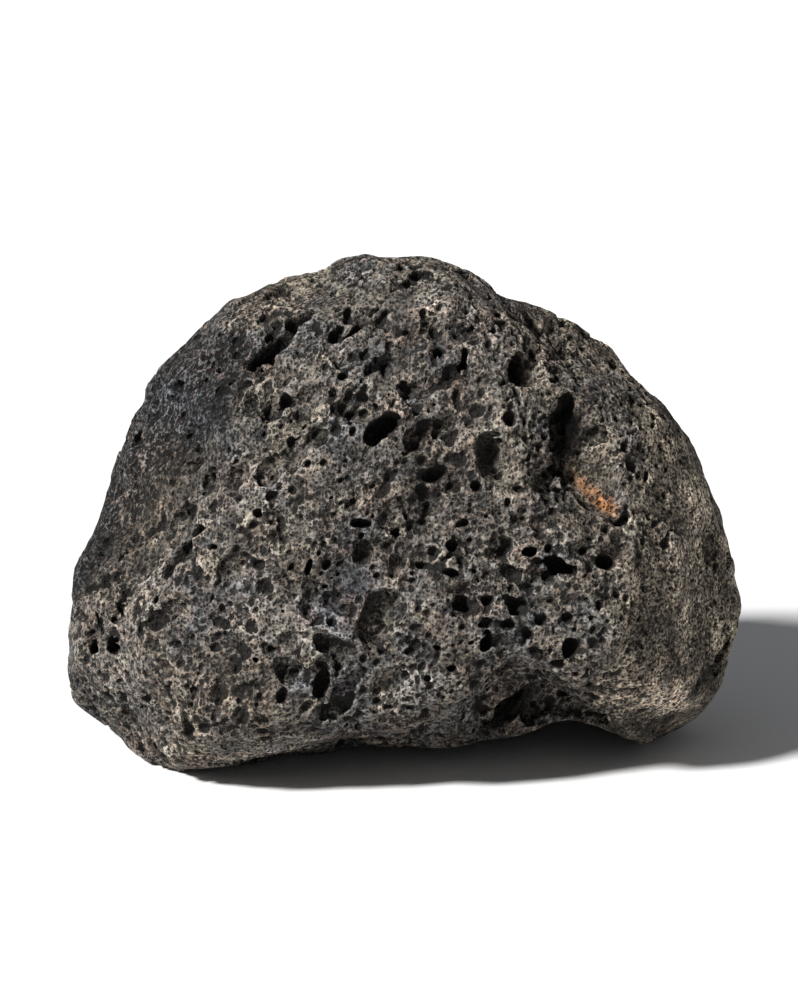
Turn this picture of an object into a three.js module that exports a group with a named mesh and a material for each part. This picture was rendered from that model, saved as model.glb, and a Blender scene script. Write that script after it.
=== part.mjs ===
// Lava rock: one loose boulder of dark vesicular basalt (scoria), about 254 mm wide, modelled as one closed stone.
//
// Part frame: millimetres, +Z up, origin at the bottom centre of the bounding box, stone standing on the worn flat of its underside.
// The broad pitted face looks along -Y. The stone is first shaped in a working frame that lies square to that face:
//   u to the right across the face, v up the face, w into the stone.
// The working frame is then pitched back by FACE_PITCH so that the face looks slightly upwards.
//
// The body is a rounded intersection of half-spaces (the planes that the stone broke and wore along), fitted to the outline of
// its broad face, with the large hollows pressed in afterwards. The fine pores aren't part of this solid.
import * as THREE from "three";
import { mergeVertices } from "three/addons/utils/BufferGeometryUtils.js";

// ---- driving dimensions ----
const FACE_PITCH = THREE.MathUtils.degToRad(14); // how far the broad face leans back
const DETAIL = 17; // icosphere subdivisions: 20 * (DETAIL + 1)^2 triangles
const ROUNDING = 10; // power of the blend between planes: higher is sharper
const FLOOR = 80.5; // distance from the working centre down to the surface the stone stands on
const SLATE = 0x57524e; // dark warm grey of the stone

// Outline of the stone seen square on to its broad face, [u, v] in mm, clockwise from the top.
const OUTLINE = [
  [-6.9, 105.5], [1.4, 105.8], [10.4, 103.7], [19.3, 100.8], [29.1, 96.7], [38.6, 90.2], [49.4, 86.6], [60.0, 80.6],
  [69.4, 74.1], [78.8, 67.2], [87.9, 58.6], [95.1, 50.4], [102.0, 41.1], [107.8, 30.4], [113.3, 20.9], [118.1, 10.9],
  [121.3, 1.2], [122.8, -10.0], [122.6, -23.4], [121.2, -37.7], [119.0, -51.9], [115.5, -61.8], [109.3, -69.2],
  [99.8, -75.4], [93.0, -79.0], [86.0, -79.8], [80.0, -78.0], [74.0, -75.0], [67.5, -72.0], [60.0, -70.5],
  [50.2, -71.5], [39.2, -75.0], [29.5, -77.2], [18.9, -78.8], [4.4, -79.3], [-8.0, -78.8], [-20.5, -79.5], [-33.3, -82.3], [-46.3, -86.2],
  [-61.2, -89.1], [-74.9, -90.9], [-86.3, -91.2], [-96.3, -88.9], [-103.1, -85.3], [-109.7, -78.1], [-117.8, -72.1],
  [-125.3, -66.8], [-129.3, -58.4], [-130.9, -47.8], [-130.8, -35.4], [-129.5, -23.2], [-126.5, -12.2],
  [-120.9, -1.6], [-116.9, 12.3], [-113.6, 24.2], [-108.6, 36.0], [-102.1, 49.5], [-94.0, 62.9], [-83.8, 74.3],
  [-71.5, 84.6], [-58.4, 92.7], [-45.3, 97.5], [-32.3, 101.4], [-19.4, 104.8],
];

// Planes of the body, [nu, nv, nw, distance from the centre in mm].
const PLANES = [
  // broad face and the flanks round it
  [-0.1, 0.12, -0.99, 82],
  [0.16, -0.04, -0.985, 83],
  [-0.78, 0.16, -0.6, 106],
  [-0.9, -0.15, -0.4, 122],
  [0.62, 0.2, -0.76, 104],
  [0.84, -0.08, -0.54, 112],
  [-0.05, 0.7, -0.71, 98],
  [0.46, 0.68, -0.57, 103],
  [-0.52, 0.6, -0.61, 102],
  [-0.22, -0.74, -0.64, 117],
  [0.14, -0.76, -0.63, 98],
  [0.55, -0.5, -0.67, 108],
  [-0.72, -0.42, -0.56, 118],
  // rim
  [-1, 0.05, 0.05, 131],
  [-0.82, 0.57, 0.05, 118],
  [-0.4, 0.91, 0.1, 109],
  [0.1, 0.99, 0.05, 106],
  [0.55, 0.83, -0.05, 104],
  [0.86, 0.51, 0.05, 108],
  [1, -0.05, 0.1, 123],
  [0.82, -0.56, 0.1, 134],
  [-0.72, -0.69, 0.1, 142],
  [0, -1, 0.04, 84],
  // back, hidden when the face is seen
  [0.12, 0.05, 0.99, 94],
  [-0.25, 0.22, 0.95, 99],
  [-0.7, 0.12, 0.7, 106],
  [0.7, 0.05, 0.7, 114],
  [0.05, 0.78, 0.62, 94],
  [0.5, 0.62, 0.6, 103],
  [-0.52, 0.66, 0.54, 103],
  [-0.62, -0.36, 0.7, 118],
  [0.5, -0.4, 0.77, 116],
  [0.02, -0.66, 0.75, 118],
];

// Hollows and swellings, in the working frame: centre direction given by a point near the surface, reach along and across,
// the direction of the long axis, and how far the surface moves towards the centre (negative swells outwards), in mm.
const HOLLOWS = [
  { at: [64, 30, -72], long: [0.3, -0.95, 0], reach: [22, 12], depth: 8, edge: 3 }, // the large cavity
  { at: [64, -82, -46], long: [1, 0.1, 0], reach: [25, 15], depth: 16, edge: 3 }, // arch under the right lobe
  { at: [38, -62, -66], long: [0.55, 0.83, 0], reach: [17, 6.5], depth: 9, edge: 2 }, // cleft beside the arch
  { at: [-2, -90, -50], long: [1, 0.1, 0], reach: [50, 13], depth: 5, edge: 2 }, // turn of the face into the underside
  { at: [-8, -22, -84], long: [0.2, 0.98, 0], reach: [36, 15], depth: 3, edge: 2 }, // shallow valley down the face
  { at: [-104, -10, -46], long: [0.3, 0.95, 0], reach: [24, 10], depth: 3, edge: 2 }, // dip in the left flank
  { at: [34, 62, -68], long: [1, -0.5, 0], reach: [22, 12], depth: 2.5, edge: 2 },
  { at: [92, -54, -44], long: [0.2, 0.98, 0], reach: [20, 14], depth: -4, edge: 2 }, // swelling of the right lobe
  { at: [-72, -56, -60], long: [1, 0, 0], reach: [32, 18], depth: -3, edge: 2 }, // swelling low on the left
  { at: [36, 96, 6], long: [0.3, 0, 0.95], reach: [28, 8], depth: 2.5, edge: 2 }, // step along the top
  // back
  { at: [-30, 34, 90], long: [0.8, 0.6, 0], reach: [34, 18], depth: 8, edge: 2 },
  { at: [52, -16, 86], long: [0.2, 0.98, 0], reach: [26, 12], depth: 6, edge: 2 },
  { at: [-74, -34, 80], long: [1, 0, 0], reach: [24, 20], depth: -4, edge: 2 },
  { at: [10, 78, 66], long: [1, 0.1, 0], reach: [30, 12], depth: -3, edge: 2 },
  { at: [98, 22, 52], long: [0, 1, 0.2], reach: [22, 12], depth: 5, edge: 2 },
  { at: [-108, 34, 34], long: [0.2, 0.9, 0.4], reach: [20, 12], depth: 5, edge: 2 },
];

// Broad, low lumps over the whole stone: wave direction, wavelength in mm, phase and height in mm.
const LUMPS = [
  [[0.8, 0.3, 0.52], 74, 0.4, 1.5],
  [[-0.3, 0.85, 0.43], 61, 2.1, 1.3],
  [[0.2, -0.5, 0.84], 67, 4.0, 1.4],
  [[-0.74, -0.38, 0.55], 43, 1.2, 0.9],
  [[0.5, 0.79, -0.36], 37, 5.1, 0.8],
  [[0.05, 0.4, 0.92], 33, 3.3, 0.7],
  [[0.93, -0.31, 0.2], 29, 0.9, 0.6],
];

const dot = (a, b) => a[0] * b[0] + a[1] * b[1] + a[2] * b[2];
const unit = (a) => a.map((x) => x / Math.hypot(...a));

// Radius of the rounded plane-bounded body along a unit direction.
const PLANE_UNITS = PLANES.map(([a, b, c, h]) => [...unit([a, b, c]), h]);
function bodyRadius(d) {
  let sum = 0;
  for (const p of PLANE_UNITS) {
    const q = (d[0] * p[0] + d[1] * p[1] + d[2] * p[2]) / p[3];
    if (q > 0) sum += q ** ROUNDING;
  }
  return sum ** (-1 / ROUNDING);
}

// Radius of the outline at an angle round the face.
const OUTLINE_POLAR = OUTLINE.map(([u, v]) => [Math.atan2(v, u), Math.hypot(u, v)]).sort((a, b) => a[0] - b[0]);
function outlineRadius(angle) {
  const n = OUTLINE_POLAR.length;
  let i = OUTLINE_POLAR.findIndex((p) => p[0] > angle);
  if (i < 0) i = n;
  const at = (k) => {
    const p = OUTLINE_POLAR[((k % n) + n) % n];
    return [p[0] + 2 * Math.PI * Math.floor(k / n), p[1]];
  };
  const [p0, p1, p2, p3] = [at(i - 2), at(i - 1), at(i), at(i + 1)];
  const t = (angle - p1[0]) / (p2[0] - p1[0]);
  return (
    0.5 *
    (2 * p1[1] +
      (p2[1] - p0[1]) * t +
      (2 * p0[1] - 5 * p1[1] + 4 * p2[1] - p3[1]) * t * t +
      (3 * p1[1] - p0[1] - 3 * p2[1] + p3[1]) * t * t * t)
  );
}

// How much the body has to grow in u and v at an angle for its silhouette to meet the outline.
const growth = new Map();
function outlineGrowth(angle) {
  const key = Math.round((angle * 720) / Math.PI);
  if (!growth.has(key)) {
    const a = (key * Math.PI) / 720;
    let widest = 0;
    for (let i = 20; i <= 160; i++) {
      const t = (i * Math.PI) / 180;
      const d = [Math.sin(t) * Math.cos(a), Math.sin(t) * Math.sin(a), Math.cos(t)];
      widest = Math.max(widest, bodyRadius(d) * Math.sin(t));
    }
    growth.set(key, outlineRadius(a) / widest);
  }
  return growth.get(key);
}

// A hollow's press on a point: an elliptical dish whose wall is steeper for a higher edge power.
const HOLLOW_AXES = HOLLOWS.map((h) => {
  const out = unit(h.at);
  const k = dot(h.long, out);
  const along = unit(h.long.map((x, i) => x - k * out[i]));
  const across = [
    out[1] * along[2] - out[2] * along[1],
    out[2] * along[0] - out[0] * along[2],
    out[0] * along[1] - out[1] * along[0],
  ];
  return { ...h, out, along, across };
});
function press(p) {
  let moved = 0;
  for (const h of HOLLOW_AXES) {
    if (dot(p, h.out) <= 0) continue;
    const off = p.map((x, i) => x - h.at[i]);
    const s = Math.hypot(dot(off, h.along) / h.reach[0], dot(off, h.across) / h.reach[1]);
    if (s < 1.9) moved += h.depth * Math.exp(-(s ** (2 * (h.edge / 2))) * 0.9);
  }
  return moved;
}

function shapedPoint(d) {
  const r = bodyRadius(d);
  const p = d.map((x) => x * r);
  const g = outlineGrowth(Math.atan2(p[1], p[0]));
  p[0] *= g;
  p[1] *= g;
  let shift = -press(p);
  for (const [dir, wave, phase, height] of LUMPS) shift += height * Math.sin((2 * Math.PI * dot(dir, p)) / wave + phase);
  const length = Math.hypot(...p);
  return p.map((x) => x * (1 + shift / length));
}

// The hollows and lumps move the silhouette a little: how much it has to be trimmed back or let out, by sector.
const SECTORS = 120;
const reach = new Array(SECTORS).fill(0);
for (let i = 0; i < SECTORS * 4; i++)
  for (let j = 30; j <= 150; j += 1.5) {
    const [a, t] = [(i * 2 * Math.PI) / (SECTORS * 4), (j * Math.PI) / 180];
    const p = shapedPoint([Math.sin(t) * Math.cos(a), Math.sin(t) * Math.sin(a), Math.cos(t)]);
    const turn = (Math.atan2(p[1], p[0]) / (2 * Math.PI) + 1) % 1;
    const k = Math.round(turn * SECTORS) % SECTORS;
    reach[k] = Math.max(reach[k], Math.hypot(p[0], p[1]));
  }
const trim = reach.map((r, k) => outlineRadius(((((k + SECTORS / 2) % SECTORS) - SECTORS / 2) * 2 * Math.PI) / SECTORS) / r);
function surfacePoint(d) {
  const p = shapedPoint(d);
  const turn = ((Math.atan2(p[1], p[0]) / (2 * Math.PI) + 1) % 1) * SECTORS;
  const k = Math.floor(turn);
  const f = turn - k;
  const g = trim[k % SECTORS] * (1 - f) + trim[(k + 1) % SECTORS] * f;
  return [p[0] * g, p[1] * g, p[2]];
}

// ---- the stone ----
const sphere = new THREE.IcosahedronGeometry(1, DETAIL);
sphere.deleteAttribute("normal");
sphere.deleteAttribute("uv");
const stone = mergeVertices(sphere, 1e-5);
const position = stone.getAttribute("position");
const [sinP, cosP] = [Math.sin(FACE_PITCH), Math.cos(FACE_PITCH)];
for (let i = 0; i < position.count; i++) {
  // u, v, w is a left-handed triple, so the sphere is mirrored in w to keep its faces outwards
  const d = unit([position.getX(i), position.getY(i), -position.getZ(i)]);
  let [u, v, w] = surfacePoint(d);
  // the worn flat: whatever would reach below the surface it stands on is cut off there
  const down = w * sinP - v * cosP;
  const standing = down >= FLOOR;
  if (standing) [u, v, w] = [u, v, w].map((x) => (x * FLOOR) / down);
  position.setXYZ(i, u, v * sinP + w * cosP, standing ? 0 : v * cosP - w * sinP + FLOOR);
}

// bottom centre of the bounding box to the origin
stone.computeBoundingBox();
const box = stone.boundingBox;
stone.translate(-(box.min.x + box.max.x) / 2, -(box.min.y + box.max.y) / 2, 0);
stone.computeVertexNormals();

const rock = new THREE.Mesh(
  stone,
  new THREE.MeshStandardMaterial({ color: SLATE, roughness: 0.95, metalness: 0 }),
);
rock.name = "lava_rock";

const group = new THREE.Group();
group.name = "lava_rock_boulder";
group.add(rock);

export default group;
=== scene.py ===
import math

import bmesh
import bpy
import numpy as np
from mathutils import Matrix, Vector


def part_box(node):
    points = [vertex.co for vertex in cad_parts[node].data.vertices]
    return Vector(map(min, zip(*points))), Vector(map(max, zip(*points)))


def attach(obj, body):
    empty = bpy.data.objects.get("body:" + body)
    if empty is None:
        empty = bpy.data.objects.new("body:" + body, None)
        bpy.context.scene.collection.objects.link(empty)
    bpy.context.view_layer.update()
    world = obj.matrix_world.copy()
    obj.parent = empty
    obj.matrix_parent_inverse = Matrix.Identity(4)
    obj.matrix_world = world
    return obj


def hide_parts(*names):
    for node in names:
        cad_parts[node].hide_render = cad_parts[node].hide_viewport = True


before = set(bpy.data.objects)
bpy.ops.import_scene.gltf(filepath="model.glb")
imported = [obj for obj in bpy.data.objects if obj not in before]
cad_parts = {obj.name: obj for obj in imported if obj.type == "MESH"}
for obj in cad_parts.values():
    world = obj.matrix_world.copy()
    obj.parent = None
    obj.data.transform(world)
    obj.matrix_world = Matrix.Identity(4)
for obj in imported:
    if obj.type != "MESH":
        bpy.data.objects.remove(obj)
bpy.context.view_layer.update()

import openvdb as vdb
from mathutils import Vector
from mathutils.bvhtree import BVHTree

# Lava rock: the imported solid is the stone's envelope. Here the envelope is turned into a signed distance field in mm, the
# vesicles are cut out of it, and the field becomes one closed mesh, which stands for the node.
#
# Three frames are used: the row frame (metres), the same in mm, and the "face" frame square to the broad face (mm): a to the
# right, b up the face, d into the stone.
PITCH = math.radians(14)
SIN, COS = math.sin(PITCH), math.cos(PITCH)
LOW, HIGH = (np.array(c) * 1000 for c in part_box("lava_rock"))
FACE_ORIGIN = np.array([3.96, -2.11, 80.5])  # the face frame's origin in the row frame, mm
A_AXIS, B_AXIS, D_AXIS = np.array([1, 0, 0]), np.array([0, SIN, COS]), np.array([0, COS, -SIN])
FLOW = math.radians(52)  # the vesicles were drawn out along this direction on the face
VOXEL = 0.48
TRIANGLES = 196000
rng = np.random.default_rng(20261120)


def to_row(a, b, d=0.0):
    return FACE_ORIGIN + a * A_AXIS + b * B_AXIS + d * D_AXIS


def to_face(p):
    q = p - FACE_ORIGIN
    return q @ A_AXIS, q @ B_AXIS, q @ D_AXIS


def smoothstep(lo, hi, x):
    t = np.clip((x - lo) / (hi - lo), 0.0, 1.0)
    return t * t * (3 - 2 * t)


def unit(v):
    return v / np.linalg.norm(v)


# ---------------------------------------------------------------- the envelope
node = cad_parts["lava_rock"]
bm = bmesh.new()
bm.from_mesh(node.data)
bmesh.ops.remove_doubles(bm, verts=bm.verts, dist=1e-6)
hull_mesh = bpy.data.meshes.new("envelope")
bm.to_mesh(hull_mesh)
bm.free()
hull = bpy.data.objects.new("envelope", hull_mesh)
bpy.context.scene.collection.objects.link(hull)
hull.modifiers.new("smooth", "SUBSURF").levels = 2
shaped = hull.evaluated_get(bpy.context.evaluated_depsgraph_get()).to_mesh()
hull_v = np.empty(len(shaped.vertices) * 3, np.float32)
shaped.vertices.foreach_get("co", hull_v)
hull_v = hull_v.reshape(-1, 3).astype(float) * 1000
hull_q = np.empty(len(shaped.polygons) * 4, np.int32)
shaped.polygons.foreach_get("vertices", hull_q)
hull_q = hull_q.reshape(-1, 4)
# Catmull-Clark draws a closed form in a little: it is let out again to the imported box
hull_v = (hull_v - hull_v.mean(0)) * ((HIGH - LOW) / (hull_v.max(0) - hull_v.min(0)))
hull_v += LOW - hull_v.min(0)
bpy.data.objects.remove(hull)
bpy.data.meshes.remove(hull_mesh)
tree = BVHTree.FromPolygons([Vector(v) for v in hull_v], hull_q.tolist())


def on_face(a, b):
    """Where the line square to the face at (a, b) meets the envelope: the point, its outward normal, in mm."""
    hit, normal, _, _ = tree.ray_cast(Vector(to_row(a, b, -200)), Vector(D_AXIS))
    return (None, None) if hit is None else (np.array(hit), np.array(normal))


# ---------------------------------------------------------------- the distance field
field_grid = vdb.FloatGrid.createLevelSetFromPolygons(
    hull_v.astype(np.float32),
    quads=hull_q.astype(np.uint32),
    transform=vdb.createLinearTransform(voxelSize=VOXEL),
    halfWidth=max(5, round(4.2 / VOXEL)),
)
FIRST = np.floor((LOW - 4) / VOXEL).astype(int)
SHAPE = np.ceil((HIGH + 4) / VOXEL).astype(int) - FIRST + 1
phi = np.full(tuple(SHAPE), field_grid.background, np.float32)
field_grid.copyToArray(phi, ijk=tuple(int(i) for i in FIRST))
del field_grid


def lattice(axis):
    return (FIRST[axis] + np.arange(SHAPE[axis])) * VOXEL


def taps(axis, step):
    """Cubic B-spline taps that carry a coarse lattice of that step to the field's own along one axis."""
    x = (lattice(axis) - lattice(axis)[0]) / step + 0.37 * (axis + 1)
    cell = np.floor(x).astype(int)
    f = (x - cell).astype(np.float32)
    return cell, np.stack([(1 - f) ** 3, 3 * f**3 - 6 * f**2 + 4, -3 * f**3 + 3 * f**2 + 3 * f + 1, f**3]) / 6


def add_lumps(array, step, height, seed):
    """Adds smooth noise with lumps of about that step and height, in mm."""
    r = np.random.default_rng(seed)
    (cx, wx), (cy, wy), (cz, wz) = (taps(axis, step) for axis in range(3))
    coarse = r.standard_normal([c.max() + 4 for c in (cx, cy, cz)]).astype(np.float32) * np.float32(1.9 * height)
    part = sum(wz[k] * coarse[:, :, cz + k] for k in range(4))
    part = sum(wy[k][:, None] * part[:, cy + k] for k in range(4))
    for i in range(len(cx)):
        array[i] += sum(wx[k, i] * part[cx[i] + k] for k in range(4))


smooth_phi = phi.copy()  # the envelope, kept to measure depths from
for step, height, seed in ((18.0, 0.95, 11), (9.0, 0.80, 12), (4.6, 0.42, 13)):
    add_lumps(phi, step, height, seed)
wobble = np.zeros_like(phi)  # what makes the rims of the vesicles uneven
for step, height, seed in ((5.0, 0.34, 23), (2.6, 0.32, 21), (1.4, 0.12, 22)):
    add_lumps(wobble, step, height, seed)


def cut(centre, axes, radii, round_off):
    """Takes an ellipsoid out of the field. axes are three unit rows, radii their half lengths in mm."""
    reach = max(radii) + round_off + 2 * VOXEL
    lo = np.maximum(np.floor((centre - reach) / VOXEL).astype(int) - FIRST, 0)
    hi = np.minimum(np.ceil((centre + reach) / VOXEL).astype(int) - FIRST + 1, SHAPE)
    if (hi <= lo).any():
        return
    gx, gy, gz = ((FIRST[k] + np.arange(lo[k], hi[k])) * VOXEL - centre[k] for k in range(3))
    scaled = axes / np.asarray(radii)[:, None]
    q = [
        (s[0] * gx)[:, None, None] + (s[1] * gy)[None, :, None] + (s[2] * gz)[None, None, :]
        for s in scaled.astype(np.float32)
    ]
    k0 = np.sqrt(q[0] ** 2 + q[1] ** 2 + q[2] ** 2)
    k1 = np.sqrt((q[0] / radii[0]) ** 2 + (q[1] / radii[1]) ** 2 + (q[2] / radii[2]) ** 2) + 1e-6
    inside = -k0 * (k0 - 1.0) / k1  # positive inside the ellipsoid
    inside += wobble[lo[0] : hi[0], lo[1] : hi[1], lo[2] : hi[2]] * min(0.9, 0.32 * min(radii))
    view = phi[lo[0] : hi[0], lo[1] : hi[1], lo[2] : hi[2]]
    if round_off > 0:
        h = np.maximum(round_off - np.abs(view - inside), 0) / round_off
        np.maximum(view, inside, out=view)
        view += h * h * (round_off / 4)
    else:
        np.maximum(view, inside, out=view)


def frame_on(normal, lean):
    """Axes on a surface: along (lean, laid on the surface), across, and the normal."""
    along = lean - normal * (lean @ normal)
    if np.linalg.norm(along) < 1e-3:
        along = np.cross(normal, [0.3, 0.5, 0.8])
    along = unit(along)
    return np.stack([along, np.cross(normal, along), normal])


# ---------------------------------------------------------------- hollows and vesicles read off the broad face
# (a, b, length, width, turn from +a in degrees, kind), mm. Kinds: h a hole with its mouth narrower than its inside, p a round
# pit, d a shallow dish.
PITS = [
    (6.3, 40.5, 7.0, 6.6, -8, "p"), (1.5, 35.4, 8.2, 7.4, 52, "p"), (14.9, 60.0, 9.0, 5.7, 67, "p"),
    (11.0, 68.0, 5.3, 3.7, 32, "h"), (24.2, 47.1, 7.0, 6.6, -8, "p"), (36.5, 42.9, 5.3, 4.9, -8, "h"),
    (-46.0, 51.2, 4.1, 3.3, -8, "p"), (-51.9, 56.2, 4.9, 4.1, 32, "p"), (-57.0, 64.3, 4.9, 3.3, 22, "p"),
    (17.2, 58.9, 4.1, 3.3, 52, "h"), (27.6, 45.0, 6.6, 2.5, 52, "p"), (19.7, 65.1, 9.8, 3.7, 77, "h"),
    (17.4, 72.1, 4.9, 4.1, 22, "p"), (29.5, 37.3, 6.6, 2.5, 2, "h"), (9.6, 22.7, 8.2, 4.9, 12, "h"),
    (15.8, 19.3, 4.9, 3.3, -8, "h"), (23.9, 18.2, 4.1, 4.1, -8, "h"), (39.5, 17.6, 4.1, 2.8, -8, "h"),
    (2.3, 53.5, 12.3, 8.2, 57, "d"), (-16.1, 46.1, 13.9, 9.8, 2, "d"), (-7.9, 63.2, 14.8, 7.4, 42, "d"),
    (-21.1, 75.0, 10.7, 4.1, 42, "h"), (-12.6, 82.9, 4.9, 2.5, 22, "h"), (4.6, 98.7, 8.6, 5.3, 27, "h"),
    (23.7, 78.6, 4.5, 3.7, 72, "p"), (13.9, 77.1, 3.0, 2.8, -8, "h"), (-1.3, 74.7, 3.0, 2.8, -8, "h"),
    (-10.6, 79.3, 5.7, 4.9, 22, "d"), (-24.3, 58.1, 5.7, 3.7, 32, "p"), (-16.5, 66.5, 3.7, 3.3, -8, "p"),
    (-31.2, 68.1, 4.5, 3.0, 42, "p"), (10.9, 84.6, 5.3, 3.4, 62, "p"), (-31.6, 35.9, 7.4, 4.1, -8, "d"),
    (-36.0, 51.4, 8.2, 5.7, 52, "d"), (-39.4, 80.9, 10.7, 7.4, 47, "p"), (-45.8, 49.5, 6.1, 5.7, -8, "h"),
    (-59.8, 56.4, 4.5, 3.9, -8, "h"), (-53.0, 48.8, 4.5, 4.1, -8, "p"), (-72.2, 18.0, 5.3, 3.7, -8, "h"),
    (-82.5, 12.4, 3.4, 2.8, 82, "h"), (-84.8, 8.2, 3.3, 3.0, -8, "h"), (-83.7, 3.9, 3.6, 3.3, -8, "h"),
    (-77.7, 2.6, 7.0, 4.3, 2, "h"), (-72.3, -3.1, 4.5, 2.5, -8, "h"), (-55.2, 9.0, 3.6, 3.3, -8, "h"),
    (-45.4, -0.2, 4.5, 4.1, -8, "p"), (-89.7, -12.2, 6.6, 4.9, 42, "h"), (-60.7, -6.4, 3.8, 2.5, -8, "h"),
    (-55.0, -9.7, 4.5, 3.0, -8, "h"), (-52.1, -18.4, 7.8, 6.6, -8, "d"), (-92.5, -23.0, 3.6, 3.0, 82, "h"),
    (-83.5, -24.3, 4.5, 3.0, -8, "h"), (-92.2, -30.1, 9.4, 8.2, -8, "p"), (-99.6, -3.4, 3.6, 3.3, -8, "h"),
    (-109.4, -40.1, 7.0, 6.1, 82, "h"), (-114.0, -32.0, 12.3, 4.1, -60, "p"), (-62.2, -55.0, 6.6, 4.5, -8, "d"),
    (-17.7, 5.0, 7.8, 3.8, -3, "h"), (-17.6, -5.8, 11.5, 8.2, 72, "p"), (-36.5, -10.6, 7.8, 3.8, 77, "h"),
    (19.3, -23.4, 6.6, 6.1, -8, "h"), (27.7, -22.1, 4.5, 3.3, -8, "h"), (37.8, -24.4, 7.8, 6.6, -28, "h"),
    (36.9, -13.0, 7.0, 5.7, -38, "h"), (42.9, -17.6, 4.4, 4.1, -8, "h"), (14.8, -2.5, 4.4, 4.1, -8, "h"),
    (15.4, -12.9, 5.3, 3.6, -8, "h"), (4.6, -9.8, 5.3, 3.0, -8, "h"), (23.4, -11.6, 3.3, 3.1, -8, "h"),
    (23.4, -32.3, 5.3, 4.4, -8, "h"), (26.8, -37.7, 8.6, 6.1, 67, "h"), (35.5, -31.5, 4.5, 3.6, -8, "h"),
    (42.5, -35.0, 4.4, 3.6, 82, "h"), (14.7, -47.2, 3.6, 3.3, -8, "h"), (6.3, -51.0, 3.3, 3.0, -8, "h"),
    (10.0, -39.5, 3.8, 2.8, -8, "h"), (5.0, 16.7, 4.4, 2.9, -8, "h"), (19.6, 5.5, 3.6, 3.3, -8, "h"),
    (46.1, -9.0, 4.4, 4.1, -8, "h"), (-31.7, -53.5, 10.2, 6.1, 72, "h"), (-32.4, -46.4, 6.1, 4.4, -8, "h"),
    (-25.7, -46.1, 5.3, 3.8, 77, "h"), (-26.4, -56.7, 4.4, 3.7, 82, "h"), (-21.7, -58.6, 3.6, 3.3, -8, "h"),
    (-43.5, -48.5, 11.5, 10.7, -8, "d"), (-46.1, -49.8, 4.4, 4.1, -8, "h"), (-29.0, -63.8, 9.8, 8.2, -8, "d"),
    (7.1, -68.5, 6.1, 3.8, -8, "h"), (-8.1, -62.2, 3.1, 2.9, -8, "h"), (-12.0, -60.4, 3.1, 2.9, -8, "h"),
    (54.7, -10.2, 13.9, 6.1, -24, "h"), (42.9, -5.2, 5.7, 4.1, 2, "h"), (71.0, -8.7, 7.0, 6.4, -8, "h"),
    (50.1, -4.1, 3.8, 3.0, 82, "h"), (48.1, -30.4, 5.2, 4.9, -8, "h"), (43.2, -35.5, 5.2, 3.6, -8, "h"),
    (57.4, -29.2, 4.4, 3.6, 82, "h"), (57.9, -40.4, 7.8, 6.1, 77, "h"), (52.8, -46.8, 5.2, 4.3, 72, "h"),
    (50.0, -52.6, 4.6, 3.1, 62, "h"), (79.2, 26.1, 3.3, 3.0, 82, "h"), (75.9, 5.1, 5.2, 3.0, 77, "h"),
    (116.0, -45.3, 18.9, 7.4, 72, "d"), (68.8, 37.5, 9.4, 6.1, 2, "h"), (-86.4, 15.9, 3.2, 3.0, 0, "h"),
    (-80.0, 9.5, 3.6, 3.2, 0, "h"), (-73.6, 22.3, 3.4, 2.6, 40, "h"), (-96.4, -21.4, 3.2, 3.0, 0, "h"),
    (-101.8, -28.6, 4.4, 4.0, 0, "h"), (-62.0, -39.5, 6.0, 5.0, 0, "d"), (-55.5, -44.0, 3.2, 3.0, 0, "h"),
    (-75.5, -70.0, 5.0, 4.0, 20, "p"), (-61.0, 56.0, 6.0, 4.5, 40, "p"), (-93.6, 63.0, 5.0, 3.0, 50, "p"),
    (-26.0, -61.5, 10.0, 8.0, 30, "p"),
]
# for each kind: how far its middle lies under the surface, its depth, both as shares of its half width, the rounding of its
# rim in mm, and how far it leans to the upper left, which steepens that wall
KINDS = {"h": (0.42, 1.5, 0.2, 0.0), "p": (0.12, 1.1, 0.3, 0.45), "d": (-0.18, 1.05, 0.3, 0.5)}


def pit_at(p, n, lean, length, width, kind):
    sink, deep, rim, left = KINDS[kind]
    if max(length, width) > 6.5:
        n = unit(n + left * (0.6 * B_AXIS - A_AXIS))
    axes = frame_on(n, lean)
    mouth = math.sqrt(1 - sink * sink)
    ra, rb = length / 2 / mouth, width / 2 / mouth
    rc = math.sqrt(ra * rb) * deep
    cut(p - n * (sink * rc), axes, (ra, rb, rc), rim)


def pit(a, b, length, width, turn, kind):
    p, n = on_face(a, b)
    if p is not None:
        t = math.radians(turn)
        pit_at(p, n, math.cos(t) * A_AXIS + math.sin(t) * B_AXIS, length, width, kind)


def bowl(a, b, depth, radii, turn, round_off, tilt=(0.0, 0.0)):
    """A large hollow: its centre lies depth mm under the envelope at (a, b); tilt leans its own normal along a and b."""
    p, n = on_face(a, b)
    n = unit(n + tilt[0] * A_AXIS + tilt[1] * B_AXIS)
    t = math.radians(turn)
    axes = frame_on(n, math.cos(t) * A_AXIS + math.sin(t) * B_AXIS)
    cut(p - n * depth, axes, radii, round_off)


# the large cavity: open and shallow on its right, deep under an overhanging left wall
bowl(66.5, 30, -2.0, (23.0, 12.5, 8.5), -78, 0.5, (-0.45, 0.05))
bowl(68.5, 18, -1.5, (11.0, 9.0, 6.5), -55, 0.5, (-0.3, -0.1))
bowl(57.5, 47, 4.0, (8.8, 5.0, 9.5), 66, 0.2)
bowl(55.2, 37, 4.8, (10.5, 5.6, 10.0), 93, 0.2)
bowl(55.6, 26, 4.2, (8.5, 4.0, 8.0), 106, 0.2)
bowl(68.0, 38, 3.8, (6.5, 3.8, 5.5), 15, 0.6)
bowl(76.0, 5.5, 1.0, (5.5, 1.6, 4.0), 40, 0.2)
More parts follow.
